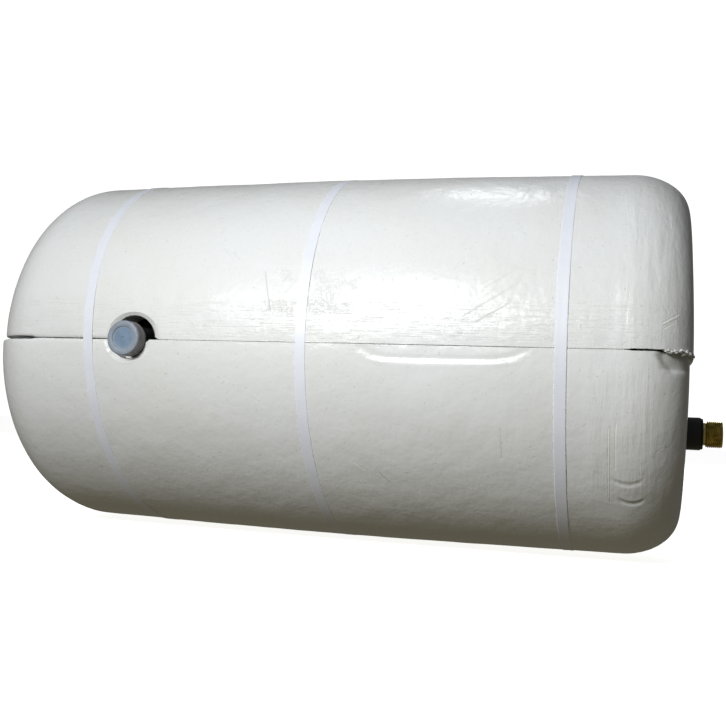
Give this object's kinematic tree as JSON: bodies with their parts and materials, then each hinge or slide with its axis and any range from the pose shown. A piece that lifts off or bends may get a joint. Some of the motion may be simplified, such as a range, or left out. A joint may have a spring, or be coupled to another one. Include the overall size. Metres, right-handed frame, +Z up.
{
  "type": "expansion vessel",
  "caption": "Horizontal foam-clad steel diaphragm expansion vessel, strapped, with a capped gas valve port in its side and a threaded brass water nipple in one end.",
  "frame": {"origin": "middle of the bounding box's underside, under the vessel's mid length, on the surface that the bands rest on", "axes": "+X along the vessel from its gas end to its water end, -Y out through the capped gas port, +Z up, square to the foam shells' parting plane"},
  "size_m": [0.7182, 0.3868, 0.3754],
  "materials": {
    "insulation_foam": "moulded off-white insulation foam with a smooth skin",
    "white_band": "translucent white packing band",
    "zinc_plated_steel": "thin zinc-plated steel",
    "black_painted_steel": "satin black paint on steel",
    "weld_metal": "bare weld metal",
    "black_rubber": "matt black rubber",
    "brass": "turned brass",
    "spring_steel": "drawn spring wire",
    "cap_plastic": "blue-grey moulded plastic",
    "black_plastic": "black moulded plastic"
  },
  "bodies": {
    "vessel": {"upper_insulation_shell": "insulation_foam", "lower_insulation_shell": "insulation_foam", "gas_end_strap": "white_band", "middle_strap": "white_band", "water_end_strap": "white_band", "gas_end_strap_seal": "zinc_plated_steel", "middle_strap_seal": "zinc_plated_steel", "water_end_strap_seal": "zinc_plated_steel", "vessel_barrel": "black_painted_steel", "gas_end_head": "black_painted_steel", "water_end_head": "black_painted_steel", "gas_end_weld": "weld_metal", "water_end_weld": "weld_metal", "diaphragm": "black_rubber", "diaphragm_clamp_ring": "zinc_plated_steel", "gas_port_nipple": "black_painted_steel", "valve_carrier": "brass", "carrier_o_ring": "black_rubber", "valve_stem": "brass", "valve_core": "brass", "valve_spring": "spring_steel", "water_port_socket": "black_painted_steel", "water_nipple": "brass", "nipple_seal_washer": "black_rubber", "water_port_guard": "zinc_plated_steel"},
    "protective_cap": {"protective_cap": "cap_plastic"},
    "valve_cap_seal": {"valve_cap_seal": "black_rubber"},
    "valve_dust_cap": {"valve_dust_cap": "black_plastic"},
    "valve_pin": {"valve_pin": "brass", "valve_seat_seal": "black_rubber"}
  },
  "joints": [
    {"name": "protective_cap_pull", "type": "slide", "parent": "vessel", "child": "protective_cap", "axis": [0, -1, 0], "range_m": [0, 0.03]},
    {"name": "dust_cap_lift", "type": "slide", "parent": "vessel", "child": "valve_cap_seal", "axis": [0, -1, 0], "range_m": [0, 0.00635]},
    {"name": "dust_cap_turn", "type": "hinge", "parent": "valve_cap_seal", "child": "valve_dust_cap", "pos_m": [-0.1731, -0.18067, 0.1877], "axis": [0, -1, 0], "range_deg": [0, 2880]},
    {"name": "valve_pin_press", "type": "slide", "parent": "vessel", "child": "valve_pin", "axis": [0, 1, 0], "range_m": [0, 0.0015], "stiffness_N_per_m": 2000, "springref_m": -0.001, "deforming": ["valve_spring"]}
  ],
  "couplings": [
    {"joint": "dust_cap_turn", "follows": "dust_cap_lift", "rad_per_m": 7913.3}
  ]
}
